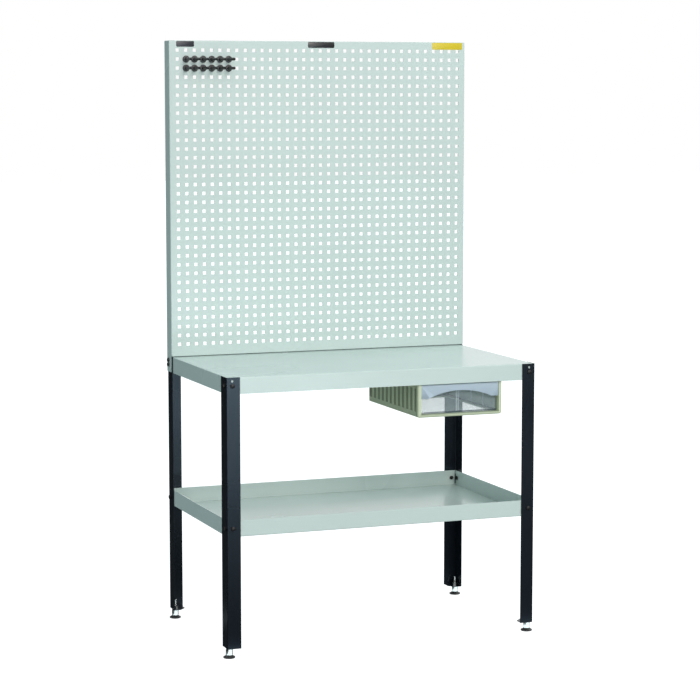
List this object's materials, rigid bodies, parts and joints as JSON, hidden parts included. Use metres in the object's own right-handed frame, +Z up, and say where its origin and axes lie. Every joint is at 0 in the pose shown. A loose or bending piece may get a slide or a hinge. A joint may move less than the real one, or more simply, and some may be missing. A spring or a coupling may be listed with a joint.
{
  "type": "workbench with pegboard",
  "caption": "Steel workbench on angle legs with a tall perforated back panel, a lower tray shelf, levelling feet and a clear drawer under the top.",
  "frame": {"origin": "on the floor under the middle of the bench", "axes": "+X to the bench's right, +Y to its back (the panel side), +Z up"},
  "size_m": [0.908, 0.55, 1.6435],
  "materials": {
    "pale_powder_paint": "satin powder coat",
    "dark_powder_paint": "satin powder coat",
    "black_steel": "black oxide",
    "zinc_steel": "bright zinc plate",
    "black_pad_plastic": "moulded, matt",
    "black_hook_plastic": "moulded, satin",
    "case_plastic": "moulded, satin",
    "clear_plastic": "clear, polished",
    "grey_plate": "plain plate",
    "black_plate": "plain plate",
    "yellow_plate": "plain plate"
  },
  "bodies": {
    "bench": {"pegboard_panel": "pale_powder_paint", "tabletop": "pale_powder_paint", "shelf_tray": "pale_powder_paint", "tabletop_channel_front": "pale_powder_paint", "tabletop_channel_rear": "pale_powder_paint", "shelf_channel": "pale_powder_paint", "case_hanger_front": "pale_powder_paint", "case_hanger_rear": "pale_powder_paint", "leg_front_left": "dark_powder_paint", "leg_front_right": "dark_powder_paint", "leg_rear_left": "dark_powder_paint", "leg_rear_right": "dark_powder_paint", "foot_gusset_front_left": "dark_powder_paint", "foot_gusset_front_right": "dark_powder_paint", "foot_gusset_rear_left": "dark_powder_paint", "foot_gusset_rear_right": "dark_powder_paint", "table_bolts": "black_steel", "table_nuts": "black_steel", "shelf_bolts": "black_steel", "shelf_nuts": "black_steel", "panel_bolts": "black_steel", "panel_nuts": "black_steel", "foot_lock_nuts": "zinc_steel", "case_screws": "zinc_steel", "peg_hook_01": "black_hook_plastic", "peg_hook_02": "black_hook_plastic", "peg_hook_03": "black_hook_plastic", "peg_hook_04": "black_hook_plastic", "peg_hook_05": "black_hook_plastic", "peg_hook_06": "black_hook_plastic", "peg_hook_07": "black_hook_plastic", "peg_hook_08": "black_hook_plastic", "peg_hook_09": "black_hook_plastic", "peg_hook_10": "black_hook_plastic", "peg_hook_11": "black_hook_plastic", "peg_hook_12": "black_hook_plastic", "drawer_case": "case_plastic", "margin_plate_left": "grey_plate", "margin_plate_middle": "black_plate", "margin_plate_right": "yellow_plate"},
    "drawer": {"clear_drawer": "clear_plastic"},
    "pad_front_left": {"foot_pad_front_left": "black_pad_plastic"},
    "spindle_front_left": {"foot_spindle_front_left": "zinc_steel"},
    "pad_front_right": {"foot_pad_front_right": "black_pad_plastic"},
    "spindle_front_right": {"foot_spindle_front_right": "zinc_steel"},
    "pad_rear_left": {"foot_pad_rear_left": "black_pad_plastic"},
    "spindle_rear_left": {"foot_spindle_rear_left": "zinc_steel"},
    "pad_rear_right": {"foot_pad_rear_right": "black_pad_plastic"},
    "spindle_rear_right": {"foot_spindle_rear_right": "zinc_steel"}
  },
  "joints": [
    {"name": "drawer_slide", "type": "slide", "parent": "bench", "child": "drawer", "axis": [0, -1, 0], "range_m": [0, 0.28]},
    {"name": "foot_travel_front_left", "type": "slide", "parent": "bench", "child": "pad_front_left", "axis": [0, 0, -1], "range_m": [0, 0.015]},
    {"name": "foot_turn_front_left", "type": "hinge", "parent": "pad_front_left", "child": "spindle_front_left", "pos_m": [-0.4375, -0.251, 0.012], "axis": [0, 0, -1], "range_deg": [0, 4320.5]},
    {"name": "foot_travel_front_right", "type": "slide", "parent": "bench", "child": "pad_front_right", "axis": [0, 0, -1], "range_m": [0, 0.015]},
    {"name": "foot_turn_front_right", "type": "hinge", "parent": "pad_front_right", "child": "spindle_front_right", "pos_m": [0.4375, -0.251, 0.012], "axis": [0, 0, -1], "range_deg": [0, 4320.5]},
    {"name": "foot_travel_rear_left", "type": "slide", "parent": "bench", "child": "pad_rear_left", "axis": [0, 0, -1], "range_m": [0, 0.015]},
    {"name": "foot_turn_rear_left", "type": "hinge", "parent": "pad_rear_left", "child": "spindle_rear_left", "pos_m": [-0.4375, 0.251, 0.012], "axis": [0, 0, -1], "range_deg": [0, 4320.5]},
    {"name": "foot_travel_rear_right", "type": "slide", "parent": "bench", "child": "pad_rear_right", "axis": [0, 0, -1], "range_m": [0, 0.015]},
    {"name": "foot_turn_rear_right", "type": "hinge", "parent": "pad_rear_right", "child": "spindle_rear_right", "pos_m": [0.4375, 0.251, 0.012], "axis": [0, 0, -1], "range_deg": [0, 4320.5]}
  ],
  "couplings": [
    {"joint": "foot_turn_front_left", "follows": "foot_travel_front_left", "rad_per_m": 5026.5},
    {"joint": "foot_turn_front_right", "follows": "foot_travel_front_right", "rad_per_m": 5026.5},
    {"joint": "foot_turn_rear_left", "follows": "foot_travel_rear_left", "rad_per_m": 5026.5},
    {"joint": "foot_turn_rear_right", "follows": "foot_travel_rear_right", "rad_per_m": 5026.5}
  ]
}
